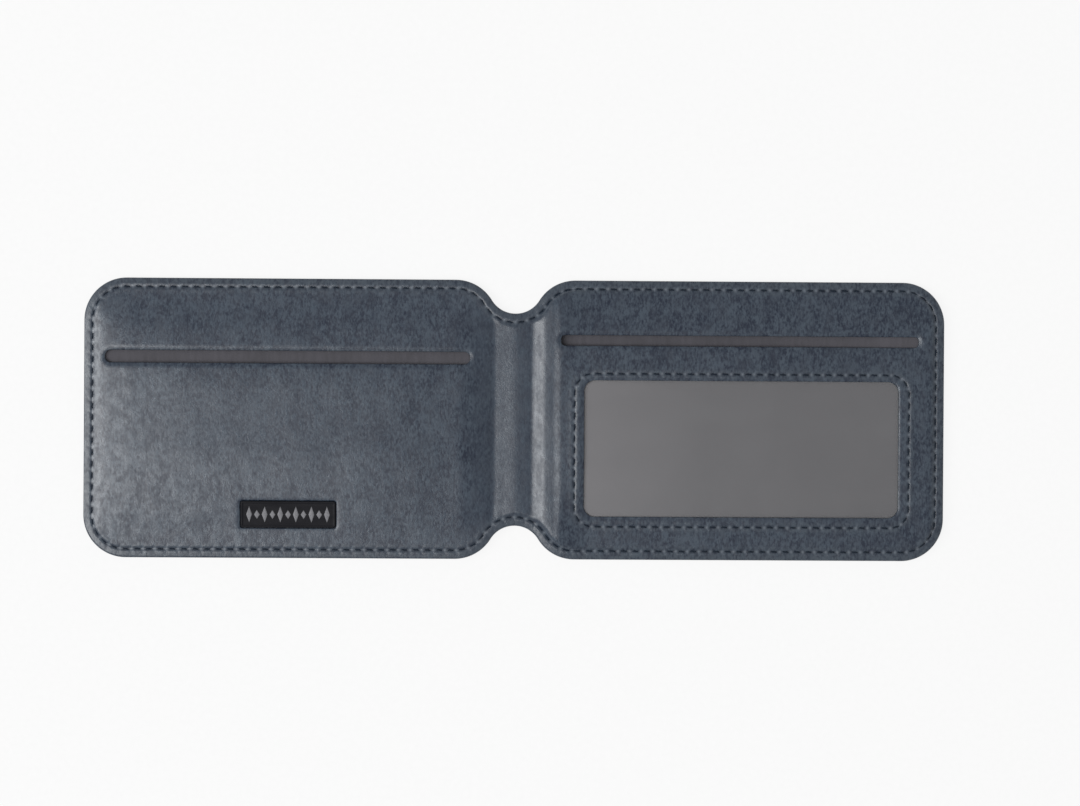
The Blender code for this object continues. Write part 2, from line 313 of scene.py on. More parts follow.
def box_coordinates(x, y, box):
    """Distance outside a rounded rectangle, and length along its outline from the middle of its top side."""
    centre_x, centre_y, length, width, corner = box
    a, b = np.abs(x - centre_x), np.abs(y - centre_y)
    reach_x, reach_y = length / 2 - corner, width / 2 - corner
    over_x, over_y = a - reach_x, b - reach_y
    gap = np.hypot(np.maximum(over_x, 0), np.maximum(over_y, 0)) + np.minimum(np.maximum(over_x, over_y), 0)
    quarter = reach_x + corner * math.pi / 2 + reach_y
    along = np.where(over_y > 0, np.minimum(a, reach_x), quarter - b)
    in_corner = (over_x > 0) & (over_y > 0)
    along = np.where(in_corner, reach_x + corner * np.arctan2(over_x, np.maximum(over_y, 1e-9)), along)
    right, upper = x >= centre_x, y >= centre_y
    along = np.where(right, np.where(upper, along, 2 * quarter - along),
                     np.where(upper, 4 * quarter - along, 2 * quarter + along))
    return gap - corner, along


def outside(points, box):
    """Each point's distance outside a rounded rectangle."""
    return box_coordinates(points[:, 0], points[:, 1], box)[0]


def path_at(path, stations):
    """Points and directions along a polyline at the given lengths, and its whole length."""
    along = np.concatenate([[0.0], np.cumsum(np.hypot(*np.diff(path, axis=0).T))])
    point, ahead, behind = (
        np.column_stack([np.interp(stations + step, along, path[:, k]) for k in (0, 1)])
        for step in (0.0, 0.05, -0.05))
    way = ahead - behind
    return point, way / np.linalg.norm(way, axis=1)[:, None], along[-1]


EDGE_PATH = half_edge(STITCH_INSET, 0.05)
EDGE_RUN = path_at(EDGE_PATH, np.zeros(1))[2]
EDGE_STITCHES = round(EDGE_RUN / STITCH_PITCH)
EDGE_PITCH = EDGE_RUN / EDGE_STITCHES
WINDOW_PATH = box_edge(WINDOW_SEAM, 0, 0.05)
WINDOW_PATH = np.vstack([WINDOW_PATH, WINDOW_PATH[:1]])
WINDOW_RUN = path_at(WINDOW_PATH, np.zeros(1))[2]
WINDOW_STITCHES = round(WINDOW_RUN / STITCH_PITCH)
WINDOW_PITCH = WINDOW_RUN / WINDOW_STITCHES


# ---------------------------------------------------------------- surfaces

def stitch_shares(across, along, pitch):
    """Where the leather sinks under a line's stitches, swells beside them, and gets a painted highlight
    between them, each from 0 to 1."""
    to_hole = np.abs((along + pitch / 2) % pitch - pitch / 2)
    bridge = bump(to_hole, 0, 0.42)
    sunk = bump(across, 0, 0.30) * (1 - 0.4 * bridge)
    swollen = (bump(across, 0.78, 0.42) + bump(across, -0.78, 0.42)) * (1 - 0.8 * bridge)
    # A painted highlight between two stitches, where the leather bridge catches the light
    stitch_gap_highlight = bump(to_hole, 0, 0.36) * bump(across, 0, 0.42)
    return sunk, swollen, stitch_gap_highlight


def stitch_marks(across, along, pitch, depth, swell):
    """How far the leather rises or sinks beside and under a line of stitches."""
    sunk, swollen, _ = stitch_shares(across, along, pitch)
    return swell * swollen - depth * sunk


def sagging_lip(gap, drop, reach):
    """How far the leather's cut edge at an opening droops and rounds over."""
    return drop * (1 - smooth(0.0, reach, gap)) + edge_round(np.maximum(gap, 0), LIP_ROUND)


def leaf_form(x, side):
    """Share of the raised height along a leaf, from the crease outwards: slope, folds and flat."""
    if side < 0:
        return 0.10 * ramp(4.6, 6.4, x, 0.4) + 0.74 * ramp(6.0, 12.8, x, 1.0) + 0.16 * smooth(12, 34, x)
    ridge = 0.60 * ramp(4.6, 6.9, x, 0.2) + 0.19 * ramp(6.9, 9.0, x, 0.3)
    return ridge + 0.20 * ramp(9.2, 10.8, x, 0.3) + 0.06 * smooth(11, 24, x)


def spine_form(x):
    """Height of the spine's middle over the rim: it rises from the left crease and stays up to the right."""
    rise = smooth(-4.9, 0.8, x) * (1.0 - 0.19 * smooth(0.6, 4.0, x)) * (1.0 - smooth(6.0, 11.0, x))
    return (SPINE_TOP - RIM_TOP) * rise - 0.16 * bump(x, -5.4, 1.0) - 0.05 * bump(x, 3.9, 0.5)


def pillow(x, y, inset, side):
    """Share of the raised height by the distances to the leaf's end and to its long edges.

    The left leaf's end steps up just inside the stitching and everything else swells slowly. On the right
    leaf the full height is kept beside the spine, right up to the stitching.
    """
    end, edge = HALF_LENGTH - np.abs(x), HALF_WIDTH - np.abs(y)
    if side < 0:
        from_end = 0.31 * ramp(2.2, 3.9, end, 0.35) + 0.16 * ramp(3.9, 5.6, end, 0.6)
        from_end += 0.31 * smooth(2.3, 12, end) + 0.22 * smooth(4, 28, end)
        from_edge = 0.12 * settle(2.3, edge, 1.3) + 0.30 * smooth(2.0, 13, edge) + 0.58 * smooth(4, 27, edge)
    else:
        from_end = 0.26 * settle(2.3, end, 1.0) + 0.08 * smooth(2.3, 9, end) + 0.66 * smooth(8, 52, end)
        from_end += 0.09 * bump(end, 3.8, 1.7)
        from_edge = 0.18 * settle(2.3, edge, 1.3) + 0.42 * smooth(2.0, 13, edge) + 0.40 * smooth(4, 27, edge)
        from_edge += (1.0 - from_edge) * (1.0 - smooth(8.5, 18.0, np.abs(x)))
    from_seam = settle(2.1, inset, 0.5 + 0.8 * smooth(8.0, 14.0, np.abs(x)))
    return lesser(from_end, lesser(from_edge, from_seam))


def panel_base(x, y, side):
    """The formed inner leather without its fine marks, in millimetres above the table."""
    inset, _ = edge_coordinates(x, y)
    out = np.abs(x)
    wander = 0.06 * np.sin(y * 0.16 + 1.1 * side) + 0.02 * np.sin(y * 0.41 + 0.4)
    wander = wander * smooth(0, 6, out)
    leaf = (PANEL_TOP - RIM_TOP) * leaf_form(out + wander, side) * pillow(x, y, inset, side)
    middle = spine_form(x) * smooth(2.2, 3.4, inset)
    unevenness = 0.035 * waves(x, y, 17.0, 5) + 0.012 * waves(x, y, 6.0, 6)
    return RIM_TOP + leaf + middle + unevenness * smooth(2.4, 6, inset)


def panel_top(x, y, side):
    """The inner leather's upper face: the form with its stitch marks, rounded rim, lips and label recess."""
    inset, along = edge_coordinates(x, y)
    z = panel_base(x, y, side)
    z += stitch_marks(STITCH_INSET - inset, along, EDGE_PITCH, STITCH_DEPTH, STITCH_SWELL)
    tilt = 0.18 - 0.08 * smooth(-10, 20, -y) if side < 0 else 0.25
    z -= edge_round(inset, RIM_ROUND) + tilt * (1 - smooth(0.0, 1.8, inset))
    z -= sagging_lip(box_coordinates(x, y, SLOTS[side])[0], 0.22, 1.0)
    if side > 0:
        seam_gap, along = box_coordinates(x, y, WINDOW_SEAM)
        z += stitch_marks(seam_gap, along, WINDOW_PITCH, STITCH_DEPTH, STITCH_SWELL)
        reach = 0.85 - 0.3 * np.tanh((x - WINDOW[0]) / 10.0)
        z -= sagging_lip(box_coordinates(x, y, WINDOW)[0], 0.18 * reach, reach)
    else:
        gap = box_coordinates(x, y, LABEL)[0]
        z -= 0.52 * (1 - smooth(0.02, 0.20, gap)) + 0.10 * bump(gap, 0.1, 0.5)
    return z


def panel_under(x, y, side):
    """The leather's flesh side; the hem that is sewn down is thicker than the rest."""
    inset, _ = edge_coordinates(x, y)
    skin = HEM_SKIN - (HEM_SKIN - SKIN) * smooth(2.7, 3.8, inset)
    return panel_base(x, y, side) - skin + 0.08 * edge_round(inset, 0.3) / 0.3


def cover_top(x, y):
    """The cover's flesh side, under the linings."""
    inset, _ = edge_coordinates(x, y)
    return COVER_TOP + 0.04 - 0.5 * edge_round(inset, 0.12)


def cover_under(x, y):
    """The cover's outside, which is the underside of the open wallet."""
    inset, along = edge_coordinates(x, y)
    crease = 0.10 * bump(np.abs(x), CREASE_X, 0.7) * smooth(2.6, 4, inset)
    sewn = stitch_marks(inset - STITCH_INSET, along, EDGE_PITCH, COVER_STITCH_DEPTH, COVER_STITCH_SWELL)
    return 0.03 + edge_round(inset, RIM_ROUND) - sewn + crease


# ---------------------------------------------------------------- meshes

def grid(low, high, spacing_x, spacing_y):
    """Points in staggered rows."""
    rows = []
    for k, y in enumerate(np.arange(low[1], high[1], spacing_y)):
        xs = np.arange(low[0] + (k % 2) * spacing_x / 2, high[0], spacing_x)
        rows.append(np.column_stack([xs, np.full_like(xs, y)]))
    return np.concatenate(rows)


def far_apart(points, spacing):
    """The points with those dropped that fall in a cell already taken."""
    cells = np.round(points / spacing).astype(np.int64)
    _, first = np.unique(cells, axis=0, return_index=True)
    return points[np.sort(first)]


def triangles(loops, scatter):
    """Constrained triangles inside the first loop and outside the others. The loops' points come first."""
    count = sum(len(loop) for loop in loops)
    points = np.concatenate(list(loops) + [scatter])
    edges, start = [], 0
    for loop in loops:
        ring = np.arange(start, start + len(loop))
        edges += list(zip(ring.tolist(), np.roll(ring, -1).tolist()))
        start += len(loop)
    made = delaunay_2d_cdt([Vector(p) for p in points.tolist()], edges, [], 1, 1e-7, True)
    places = np.array([list(v) for v in made[0]])
    index = np.full(len(points), -1)
    for k, origin in enumerate(made[3]):
        index[list(origin)] = k
    order = np.concatenate([index[:count], np.setdiff1d(np.arange(len(places)), index[:count])])
    if (index[:count] < 0).any() or len(order) != len(places):
        raise ValueError("a loop point went missing or doubled in the triangulation")
    places, faces = places[order], np.argsort(order)[np.array(made[2])]
    bridging = (faces < count).all(axis=1)
    middle = places[faces[bridging]].mean(axis=1)
    stray = ~inside(middle, loops[0])
    for hole in loops[1:]:
        stray |= inside(middle, hole)
    return places, np.delete(faces, np.flatnonzero(bridging)[stray], axis=0)


def inside(points, loop):
    """True for each point inside a closed loop, by the even-odd rule."""
    x, y = points[:, 0], points[:, 1]
    odd = np.zeros(len(points), bool)
    for (ax, ay), (bx, by) in zip(loop, np.roll(loop, -1, axis=0)):
        if ay == by:
            continue
        crosses = (ay > y) != (by > y)
        odd ^= crosses & (x < (bx - ax) * (y - ay) / (by - ay) + ax)
    return odd


def marks(x, y, z):
    """How pale the leather is painted at its rim, the left slot's upper lip and beside stitches, partly for
    wear from handling and partly as a painted highlight; how much painted shade lies in a seam; and how much
    painted highlight lies between two stitches."""
    inset, along = edge_coordinates(x, y)
    lip = 1.0 - smooth(0.1, 0.5, box_coordinates(x, y, SLOTS[-1])[0])
    # The left slot's upper lip is painted paler as a painted highlight, where it faces the light
    rubbed_and_highlight = np.maximum(1.0 - smooth(0.8, 2.0, inset), lip * (y > SLOTS[-1][1]))
    sunk, swollen, stitch_gap_highlight = stitch_shares(inset - STITCH_INSET, along, EDGE_PITCH)
    gap, along = box_coordinates(x, y, WINDOW_SEAM)
    window_sunk, window_swollen, window_stitch_gap_highlight = stitch_shares(gap, along, WINDOW_PITCH)
    raised = z > RIM_TOP
    # How sunk the leather is also sets the painted shade in the seams
    sunk = np.maximum(sunk, window_sunk * raised)
    swollen = np.maximum(swollen, window_swollen * raised)
    stitch_gap_highlight = np.maximum(stitch_gap_highlight, window_stitch_gap_highlight * raised)
    # Beside stitches the leather is painted paler as a painted highlight on the swells
    return np.maximum(rubbed_and_highlight, 0.7 * swollen), sunk, stitch_gap_highlight


def make_object(name, points, faces, slots, materials):
    """A closed, outward-facing piece from points in millimetres that keeps their rest places and marks."""
    mesh = bpy.data.meshes.new(name)
    mesh.from_pydata((points * MM).tolist(), [], [list(face) for face in faces])
    for material in materials:
        mesh.materials.append(material)
    mesh.polygons.foreach_set("material_index", np.asarray(slots, np.int32))
    shape = bmesh.new()
    shape.from_mesh(mesh)
    bmesh.ops.delete(shape, geom=[v for v in shape.verts if not v.link_faces], context="VERTS")
    bmesh.ops.recalc_face_normals(shape, faces=shape.faces)
    shape.to_mesh(mesh)
    shape.free()
    places = np.empty(3 * len(mesh.vertices), np.float32)
    mesh.vertices.foreach_get("co", places)
    mesh.attributes.new("rest_place", "FLOAT_VECTOR", "POINT").data.foreach_set("vector", places)
    # Stored shares: paler rim and lips (part wear, part painted highlight), painted shade in seams, painted
    # highlight between stitches
    for attribute, share in zip(("rubbed_and_highlight", "seam", "stitch_gap_highlight"), marks(*(places.reshape(-1, 3).T / MM))):
        mesh.attributes.new(attribute, "FLOAT", "POINT").data.foreach_set("value", share.astype(np.float32))
    mesh.shade_smooth()
    mesh.set_sharp_from_angle(angle=math.radians(55))
    piece = bpy.data.objects.new(name, mesh)
    bpy.context.scene.collection.objects.link(piece)
    return piece


def slab(name, loops, top, under, scatter_top, scatter_under, materials, side=1):
    """A closed sheet between two height functions, with its materials on top, on the cut edges and below."""
    layers = []
    for height, scatter in ((top, scatter_top), (under, scatter_under)):
        plan, faces = triangles(loops, scatter)
        plan = plan * (side, 1)
        layers.append((np.column_stack([plan, height(plan[:, 0], plan[:, 1])]), faces))
    (upper, upper_faces), (lower, lower_faces) = layers
    shift = len(upper)
    walls, start = [], 0
    for loop in loops:
        ring = np.arange(start, start + len(loop))
        after = np.roll(ring, -1)
        walls.append(np.column_stack([ring, after, after + shift, ring + shift]))
        start += len(loop)
    walls = np.concatenate(walls)
    points = np.concatenate([upper, lower])
    faces = upper_faces.tolist() + walls.tolist() + (lower_faces + shift).tolist()
    slots = [0] * len(upper_faces) + [1] * len(walls) + [2] * len(lower_faces)
    return make_object(name, points, faces, slots, materials)


def half_loop():
    """The right half's boundary: its outer edge and the line down the middle of the spine."""
    edge = half_edge(0.0, EDGE_SPACING)
    middle = line(edge[-1], edge[0], 0.5)[1:-1]
    return np.vstack([edge, middle])


def half_scatter(side, fine):
    """Points over a half: rings along its edge and openings, a dense crease, and an even fill."""
    sets = []
    for inset in FINE_INSETS if fine else COARSE_INSETS:
        spacing = 0.20 if fine and 1.0 < inset < 3.0 else (0.4 if fine else 0.9)
        sets.append(half_edge(inset, spacing)[1:-1])
    rings, clear, cut = [], [], []
    if side:
        slot = right_hand(SLOTS[side])
        rings += [(slot, offset, 0.4) for offset in SLOT_RINGS]
        clear.append((slot, 2.1))
        cut.append(slot)
    if side > 0:
        rings += [(WINDOW, offset, 0.22) for offset in WINDOW_RINGS]
        rings += [(WINDOW_SEAM, offset, 0.22) for offset in WINDOW_SEAM_RINGS]
        clear.append((WINDOW_SEAM, 2.0))
        cut.append(WINDOW)
    elif side < 0:
        plate = right_hand(LABEL)
        rings += [(plate, offset, 0.3) for offset in LABEL_RECESS_RINGS]
        clear.append((plate, 1.7))
    for box, offset, spacing in rings:
        ring = box_edge(box, offset, spacing)
        keep = edge_coordinates(ring[:, 0], ring[:, 1])[0] > RINGED_WIDTH
        if box is WINDOW and offset > 0.4:
            keep &= outside(ring, WINDOW_SEAM) < -0.9
        sets.append(ring[keep] if box is not WINDOW_SEAM else ring)
    fills = [grid((0.35, -32), (14.0, 32), 0.42 if fine else 1.5, 0.8 if fine else 2.0),
             grid((14.2, -32), (HALF_LENGTH, 32), 0.85 if fine else 3.0, 0.75 if fine else 3.0)]
    for fill in fills:
        keep = edge_coordinates(fill[:, 0], fill[:, 1])[0] > RINGED_WIDTH + 0.1
        for box, reach in clear:
            keep &= outside(fill, box) > reach
        sets.append(fill[keep])
    points = far_apart(np.concatenate(sets), 0.04)
    for box in cut:
        points = points[outside(points, box) > 0.03]
    return points


# ---------------------------------------------------------------- threads

def stitch_tube(path, radius, sides=7):
    """Points and faces of a round strand along a path of 3D points, with closed ends."""
    way = np.gradient(path, axis=0)
    way /= np.linalg.norm(way, axis=1)[:, None]
    across = np.cross(way, (0.0, 0.0, 1.0))
    across /= np.maximum(np.linalg.norm(across, axis=1), 1e-6)[:, None]
    up = np.cross(across, way)
    turn = np.arange(sides) * 2 * math.pi / sides
    rings = (path[:, None] + radius * (across[:, None] * np.cos(turn)[None, :, None]
                                       + up[:, None] * np.sin(turn)[None, :, None]))
    points = rings.reshape(-1, 3)
    faces = []
    for k in range(len(path) - 1):
        for i in range(sides):
            j = (i + 1) % sides
            faces.append((k * sides + i, (k + 1) * sides + i, (k + 1) * sides + j, k * sides + j))
    faces.append(tuple(range(sides)))
    last = (len(path) - 1) * sides
    faces.append(tuple(last + i for i in reversed(range(sides))))
    return points, faces


def stitches(name, path, pitch, count, height, side, lift, material, seed):
    """Twisted two-ply stitches as one object. lift is 1 on the leather's upper face and -1 below it."""
    source = np.random.default_rng(seed)
    gap = 0.20 * pitch
    off = 0.6 * THREAD_PLY
    share = np.linspace(0, 1, 13)
    points, faces, shift = [], [], 0
    for k in range(count):
        stations = k * pitch + gap + (pitch - 2 * gap) * share
        plan, way, _ = path_at(path, stations)
        plan, way = plan * (side, 1), way * (side, 1)
        across = np.column_stack([way[:, 1], -way[:, 0]])
        lean = THREAD_SLANT * (share - 0.5) + source.normal(0, 0.02)
        plan = plan + across * lean[:, None]
        level = float(np.mean(height(plan[4:9, 0], plan[4:9, 1])))
        hump = np.sin(math.pi * share) ** 0.55
        middle = level + lift * (0.05 * hump - 0.46 * (1 - hump) ** 2 + source.normal(0, 0.012))
        for ply in (0, math.pi):
            twist = 2 * math.pi * 1.15 * share + ply + 0.6 * k
            strand = np.column_stack([plan + across * (off * np.cos(twist))[:, None],
                                      middle + off * 0.8 * np.sin(twist)])
            tube_points, tube_faces = stitch_tube(strand, THREAD_PLY)
            points.append(tube_points)
            faces += [tuple(i + shift for i in face) for face in tube_faces]
            shift += len(tube_points)
    return make_object(name, np.concatenate(points), faces, [0] * len(faces), [material])


# ---------------------------------------------------------------- materials

# Noise mostly lies within these values: the middle of its range, and nearly all of it
CORE = (0.36, 0.64)
SPREAD = (0.3, 0.7)

LEATHER = {"dark": (0.000, 0.005, 0.018), "light": (0.036, 0.050, 0.069), "bloom": (0.020, 0.027, 0.041)}
# Pale rim colour: partly wear from handling, partly a painted highlight on the rim, the left slot's upper lip
# and beside stitches
RUBBED_AND_HIGHLIGHT_COLOUR = (0.044, 0.055, 0.068)
# Painted shade colour for the leather in the stitch grooves
SEAM_SHADE_COLOUR = (0.002, 0.005, 0.012)
# Painted highlight colour for the leather between two stitches
STITCH_GAP_HIGHLIGHT_COLOUR = (0.130, 0.150, 0.175)


class Finish:
    """A material and the moves that build its nodes. A formed piece's pattern stays with its rest shape."""

    def __init__(self, name, formed=True):
        self.material = bpy.data.materials.new(name)
        self.material.use_nodes = True
        self.tree = self.material.node_tree
        self.shader = self.tree.nodes["Principled BSDF"]
        if formed:
            self.place = self.node("Attribute", attribute_name="rest_place").outputs["Vector"]
        else:
            self.place = self.node("TexCoord").outputs["Object"]

    def node(self, kind, inputs=None, **settings):
        made = self.tree.nodes.new("ShaderNode" + kind)
        for key, value in settings.items():
            setattr(made, key, value)
        for key, value in (inputs or {}).items():
            self.feed(made.inputs[key], value)
        return made

    def feed(self, socket, value):
        if isinstance(value, bpy.types.Node):
            value = value.outputs[0]
        if isinstance(value, bpy.types.NodeSocket):
            self.tree.links.new(value, socket)
        else:
            socket.default_value = value

    def set(self, **values):
        for key, value in values.items():
            self.feed(self.shader.inputs[key.replace("_", " ")], value)

    def noise(self, size, detail=3.0, stretch=(1, 1, 1), rough=0.55, warp=0.0, shift=0.0):
        """Noise with features of about size millimetres, longer along an axis with a larger stretch."""
        scale = [1.0 / (size * MM * s) for s in stretch]
        place = self.node("Mapping", {"Vector": self.place, "Scale": scale, "Location": (shift,) * 3})
        return self.node("TexNoise", {"Vector": place, "Scale": 1.0, "Detail": detail, "Roughness": rough,
                                      "Distortion": warp}).outputs["Fac"]

    def cell_walls(self, size, stretch):
        """Distance to the walls of random cells of about size millimetres."""
        scale = [1.0 / (size * MM * s) for s in stretch]
        place = self.node("Mapping", {"Vector": self.place, "Scale": scale})
        made = self.node("TexVoronoi", {"Vector": place, "Scale": 1.0}, feature="DISTANCE_TO_EDGE")
        return made.outputs["Distance"]

    def mark(self, name):
        """One of the shares that make_object stores at each point."""
        return self.node("Attribute", attribute_name=name).outputs["Fac"]

    def maths(self, operation, a, b=0.0):
        made = self.node("Math", operation=operation)
        self.feed(made.inputs[0], a)
        self.feed(made.inputs[1], b)
        return made.outputs[0]

    def remap(self, value, low, high, to_low=0.0, to_high=1.0):
        made = self.node("MapRange", {"Value": value, "From Min": low, "From Max": high, "To Min": to_low,
                                      "To Max": to_high}, clamp=True)
        return made.outputs["Result"]

    def mix(self, factor, a, b):
        made = self.node("Mix", data_type="RGBA")
        for socket, value in (("Factor_Float", factor), ("A_Color", a), ("B_Color", b)):
            index = [s.identifier for s in made.inputs].index(socket)
            self.feed(made.inputs[index], (*value, 1.0) if isinstance(value, tuple) else value)
        return [s for s in made.outputs if s.identifier == "Result_Color"][0]

    def relief(self, height, depth, below=None):
        """Bump of the given depth in millimetres, laid over an earlier one."""
        inputs = {"Height": height, "Distance": depth * MM, "Strength": 1.0}
        if below is not None:
            inputs["Normal"] = below
        return self.node("Bump", inputs).outputs["Normal"]


def leather(name, roughness):
    """Waxed pull-up leather: deep colour under a soft gloss, broken up by fibres, pores and cloudy bloom.

    It is calmer near the spine; paler at its rim, lips and stitch swells, partly for wear from handling and
    partly as a painted highlight; paler still with a painted highlight between stitches; and darkened with
    painted shade in the seams.
    """
    skin = Finish(name)
    cloud = skin.noise(8.0, 3.0, (1, 1.3, 1), warp=0.4)
    blotch = skin.noise(3.6, 2.0, (1, 1.4, 1), rough=0.5, shift=5.2)
    mottle = skin.noise(1.5, 2.0, (1, 1.7, 1), rough=0.5, shift=3.1)
    grain = skin.noise(0.66, 2.0, (1, 1.9, 1), rough=0.6, shift=1.3)
    fibre = skin.noise(0.36, 2.0, (1, 2.4, 1), rough=0.6, shift=7.7)
    tone = skin.remap(cloud, *CORE, 0.0, 0.12)
    for layer, share in ((blotch, 0.18), (mottle, 0.20), (grain, 0.40), (fibre, 0.34)):
        tone = skin.maths("ADD", tone, skin.remap(layer, *CORE, 0.0, share))
    from_middle = skin.maths("ABSOLUTE", skin.node("SeparateXYZ", {"Vector": skin.place}).outputs["X"])
    grained = skin.remap(from_middle, 8.5 * MM, 12.5 * MM, 0.55, 1.0)
    usual = 0.62
    tone = skin.maths("ADD", skin.maths("MULTIPLY", skin.maths("SUBTRACT", tone, usual), grained), usual)
    colour = skin.mix(skin.remap(tone, 0.33, 0.88), LEATHER["dark"], LEATHER["light"])
    haze = skin.noise(3.2, 3.0, (1, 1.6, 1), shift=11.0)
    colour = skin.mix(skin.remap(haze, 0.45, 0.68, 0.0, 0.4), colour, LEATHER["bloom"])
    # Pale rim and lips: partly wear from handling, partly a painted highlight
    rubbed_and_highlight = skin.maths("MULTIPLY", skin.mark("rubbed_and_highlight"), skin.remap(grain, *CORE, 0.15, 0.60))
    colour = skin.mix(rubbed_and_highlight, colour, RUBBED_AND_HIGHLIGHT_COLOUR)
    # Painted shade: the leather is darkened in the stitch grooves
    colour = skin.mix(skin.maths("MULTIPLY", skin.mark("seam"), 0.5), colour, SEAM_SHADE_COLOUR)
    # Painted highlight between two stitches
    colour = skin.mix(skin.maths("MULTIPLY", skin.mark("stitch_gap_highlight"), 0.6), colour, STITCH_GAP_HIGHLIGHT_COLOUR)
    skin.set(Base_Color=colour, Specular_IOR_Level=0.5)
    patches = skin.maths("ADD", skin.remap(mottle, *CORE, 0.05, -0.05), skin.remap(grain, *CORE, 0.03, -0.03))
    skin.set(Roughness=skin.maths("ADD", patches, roughness))
    pores = skin.remap(skin.cell_walls(0.8, (1, 1.5, 1)), 0.0, 0.12)
    normal = skin.relief(pores, 0.006)
    fine = skin.maths("MULTIPLY", skin.maths("ADD", fibre, grain), grained)
    normal = skin.relief(fine, 0.010, normal)
    normal = skin.relief(skin.maths("MULTIPLY", mottle, grained), 0.015, normal)
    skin.set(Normal=skin.relief(blotch, 0.035, normal))
    return skin.material


def edge_paint():
    """Painted cut edge, with the leather's layers just showing through as fine lines."""
    paint = Finish("painted_edge")
    layers = paint.noise(0.5, 2.0, (12, 12, 0.45), shift=2.0)
    colour = paint.mix(paint.remap(layers, 0.35, 0.65), (0.014, 0.021, 0.026), (0.036, 0.050, 0.054))
    colour = paint.mix(paint.remap(paint.noise(2.4, 3.0), 0.45, 0.7, 0.0, 0.4), colour, (0.05, 0.062, 0.064))
    paint.set(Base_Color=colour, Roughness=paint.remap(layers, 0.3, 0.7, 0.36, 0.52))
    paint.set(Normal=paint.relief(layers, 0.03))
    return paint.material


def suede(name, dark, light):
    """The fuzzy flesh side of leather."""
    nap = Finish(name)
    fuzz = nap.noise(0.35, 4.0, rough=0.7)
    colour = nap.mix(nap.remap(fuzz, *SPREAD), dark, light)
    nap.set(Base_Color=colour, Roughness=0.9, Normal=nap.relief(fuzz, 0.06))
    return nap.material


def woven(name, dark, light, pitch, depth, formed=True):
    """Plain weave: two crossed sets of rounded yarns of the given pitch in millimetres."""
    cloth = Finish(name, formed)
    parts = cloth.node("SeparateXYZ", {"Vector": cloth.place})
    rate = 2 * math.pi / (pitch * MM)
    warp = cloth.maths("SINE", cloth.maths("MULTIPLY", parts.outputs["X"], rate))
    weft = cloth.maths("SINE", cloth.maths("MULTIPLY", parts.outputs["Y"], rate))
    crossing = cloth.maths("MULTIPLY", warp, weft)
    slubs = cloth.noise(0.9, 3.0, (1, 5, 1), shift=4.0)
    haze = cloth.noise(7.0, 3.0, shift=9.0)
    tone = cloth.remap(crossing, -1, 1, 0.30, 0.46)
    tone = cloth.maths("ADD", tone, cloth.remap(slubs, *SPREAD, -0.12, 0.22))
    tone = cloth.maths("ADD", tone, cloth.remap(haze, *SPREAD, -0.08, 0.12))
    cloth.set(Base_Color=cloth.mix(tone, dark, light), Roughness=0.78, Sheen_Weight=0.25, Sheen_Roughness=0.5,
              Normal=cloth.relief(crossing, depth))
    return cloth.material


def waxed_thread():
    """Dark waxed polyester thread with fine filaments."""
    thread = Finish("twisted_thread")
    fibre = thread.noise(0.16, 2.0, rough=0.6)
    age = thread.noise(6.0, 2.0, shift=6.0)
    colour = thread.mix(thread.remap(fibre, *SPREAD), (0.003, 0.006, 0.012), (0.010, 0.017, 0.028))
    colour = thread.mix(thread.remap(age, 0.4, 0.7, 0.0, 0.4), colour, (0.010, 0.015, 0.022))
    thread.set(Base_Color=colour, Roughness=0.7, Specular_IOR_Level=0.12, Sheen_Weight=0.05,
               Normal=thread.relief(fibre, 0.02))
    return thread.material


def clear_film():
    """Hazy clear vinyl, about half see-through from above and less so at grazing angles.
    Its grey carries a painted reflection, brighter towards the left.
    """
    film = Finish("clear_film")
    smear = film.noise(11.0, 3.0, (2.2, 1, 1), warp=0.6)
    across = film.node("SeparateXYZ", {"Vector": film.place}).outputs["X"]
    # Painted reflection: the film's grey is painted brighter towards the left, where its gloss faces the
    # light
    haze = film.mix(film.remap(across, 16 * MM, 46 * MM), (0.205, 0.200, 0.208), (0.160, 0.158, 0.165))
    film.set(Base_Color=haze, Specular_IOR_Level=0.6,
             Roughness=film.remap(smear, *SPREAD, 0.32, 0.42), Normal=film.relief(smear, 0.10))
    through = film.node("BsdfTransparent", {"Color": (0.97, 0.975, 0.98, 1.0)})
    grazing = film.node("LayerWeight", {"Blend": 0.28}).outputs["Facing"]
    share = film.maths("ADD", film.remap(grazing, 0.0, 1.0, 0.48, 0.8), film.remap(smear, *SPREAD, 0.0, 0.03))
    mixed = film.node("MixShader", {"Fac": share})
    film.feed(mixed.inputs[1], through)
    film.feed(mixed.inputs[2], film.shader)
    film.feed(film.tree.nodes["Material Output"].inputs["Surface"], mixed)
    return film.material


def moulded(name, dark, light, roughness, grain, depth, formed=True, gloss=0.5):
    """Lightly grained moulded or printed surface."""
    plate = Finish(name, formed)
    speck = plate.noise(grain, 3.0, rough=0.65)
    scuff = plate.noise(2.6, 4.0, (3.0, 0.6, 1), shift=8.0)
    colour = plate.mix(plate.remap(speck, *SPREAD), dark, light)
    plate.set(Base_Color=colour, Roughness=plate.remap(scuff, *SPREAD, roughness - 0.08, roughness + 0.12),
              Specular_IOR_Level=gloss, Normal=plate.relief(speck, depth))
    return plate.material


